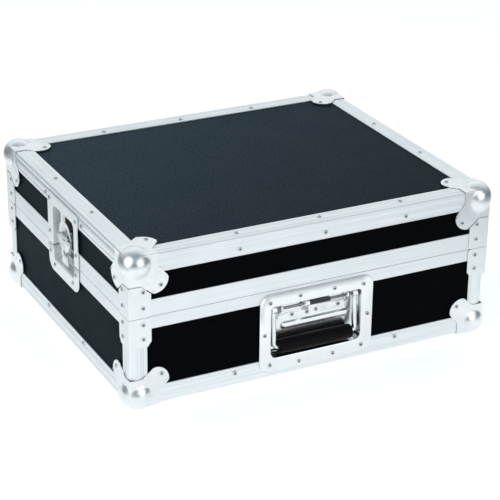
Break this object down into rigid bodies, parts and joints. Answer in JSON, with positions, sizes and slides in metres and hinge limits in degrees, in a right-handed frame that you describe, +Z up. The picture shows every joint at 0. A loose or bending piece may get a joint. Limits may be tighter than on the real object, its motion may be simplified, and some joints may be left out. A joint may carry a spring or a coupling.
{
  "type": "flight case",
  "caption": "Flight case with laminated panels, aluminium edges, ball corners, lift-off lid, recessed twist latches, sprung recessed handle and foam lining",
  "frame": {"origin": "on the ground, under the middle of the case's footprint over the ball corners", "axes": "+Z up; +X along the handle side, to the right of a viewer who faces the handle; +Y from the handle side to the back"},
  "size_m": [0.541, 0.4486, 0.224],
  "materials": {
    "laminate": "black laminate on plywood, finely textured",
    "aluminium_edge": "extruded, satin anodised",
    "pressed_steel": "zinc plated pressed steel",
    "polished_steel": "bright plated steel",
    "spring_steel": "dark spring wire",
    "grip_rubber": "matt black moulding",
    "foam": "dark open-cell foam"
  },
  "bodies": {
    "base": {"base_floor_panel": "laminate", "base_front_panel": "laminate", "base_back_panel": "laminate", "base_left_panel": "laminate", "base_right_panel": "laminate", "base_front_edge": "aluminium_edge", "base_back_edge": "aluminium_edge", "base_left_edge": "aluminium_edge", "base_right_edge": "aluminium_edge", "base_post_front_left": "aluminium_edge", "base_post_front_right": "aluminium_edge", "base_post_back_right": "aluminium_edge", "base_post_back_left": "aluminium_edge", "base_front_closing_profile": "aluminium_edge", "base_back_closing_profile": "aluminium_edge", "base_ball_corner_front_left": "polished_steel", "base_ball_corner_front_right": "polished_steel", "base_ball_corner_back_right": "polished_steel", "base_ball_corner_back_left": "polished_steel", "base_brace_front_left": "pressed_steel", "base_brace_front_right": "pressed_steel", "base_brace_back_right": "pressed_steel", "base_brace_back_left": "pressed_steel", "base_floor_foam": "foam", "base_wall_foam": "foam", "latch_keeper_left": "pressed_steel", "latch_keeper_right": "pressed_steel", "handle_dish": "pressed_steel", "handle_hinge": "pressed_steel", "handle_spring": "spring_steel"},
    "lid": {"lid_top_panel": "laminate", "lid_front_panel": "laminate", "lid_back_panel": "laminate", "lid_left_panel": "laminate", "lid_right_panel": "laminate", "lid_front_edge": "aluminium_edge", "lid_back_edge": "aluminium_edge", "lid_left_edge": "aluminium_edge", "lid_right_edge": "aluminium_edge", "lid_front_closing_profile": "aluminium_edge", "lid_back_closing_profile": "aluminium_edge", "lid_ball_corner_front_left": "polished_steel", "lid_ball_corner_front_right": "polished_steel", "lid_ball_corner_back_right": "polished_steel", "lid_ball_corner_back_left": "polished_steel", "lid_brace_front_left": "pressed_steel", "lid_brace_front_right": "pressed_steel", "lid_brace_back_right": "pressed_steel", "lid_brace_back_left": "pressed_steel", "lid_foam": "foam", "latch_dish_left": "pressed_steel", "latch_dish_right": "pressed_steel"},
    "handle": {"handle_bail": "polished_steel", "handle_grip": "grip_rubber"},
    "latch_left_rotor": {"latch_rotor_left": "pressed_steel"},
    "latch_left_wing": {"latch_wing_left": "pressed_steel"},
    "latch_left_hook": {"latch_hook_left": "pressed_steel"},
    "latch_right_rotor": {"latch_rotor_right": "pressed_steel"},
    "latch_right_wing": {"latch_wing_right": "pressed_steel"},
    "latch_right_hook": {"latch_hook_right": "pressed_steel"}
  },
  "joints": [
    {"name": "lid_lift", "type": "slide", "parent": "base", "child": "lid", "axis": [0, 0, 1], "range_m": [0, 0.25]},
    {"name": "handle_swing", "type": "hinge", "parent": "base", "child": "handle", "pos_m": [0.002, -0.20925, 0.1005], "axis": [-1, 0, 0], "range_deg": [0, 90], "stiffness_Nm_per_rad": 0.25, "springref_deg": -22.92},
    {"name": "latch_left_turn", "type": "hinge", "parent": "lid", "child": "latch_left_rotor", "pos_m": [-0.2625, 0, 0.1582], "axis": [1, 0, 0], "range_deg": [0, 180]},
    {"name": "latch_left_fold", "type": "hinge", "parent": "latch_left_rotor", "child": "latch_left_wing", "pos_m": [-0.2624, 0, 0.1582], "axis": [0, 1, 0], "range_deg": [0, 90]},
    {"name": "latch_left_draw", "type": "hinge", "parent": "latch_left_rotor", "child": "latch_left_hook", "pos_m": [-0.2561, 0, 0.1537], "axis": [-0.9988, 0, 0.0489], "range_deg": [0, 180]},
    {"name": "latch_right_turn", "type": "hinge", "parent": "lid", "child": "latch_right_rotor", "pos_m": [0.2625, 0, 0.1582], "axis": [-1, 0, 0], "range_deg": [0, 180]},
    {"name": "latch_right_fold", "type": "hinge", "parent": "latch_right_rotor", "child": "latch_right_wing", "pos_m": [0.2624, 0, 0.1582], "axis": [0, -1, 0], "range_deg": [0, 90]},
    {"name": "latch_right_draw", "type": "hinge", "parent": "latch_right_rotor", "child": "latch_right_hook", "pos_m": [0.2561, 0, 0.1537], "axis": [0.9988, 0, 0.0489], "range_deg": [0, 180]}
  ],
  "couplings": [
    {"joint": "latch_left_draw", "follows": "latch_left_turn", "ratio": 1},
    {"joint": "latch_right_draw", "follows": "latch_right_turn", "ratio": 1}
  ]
}
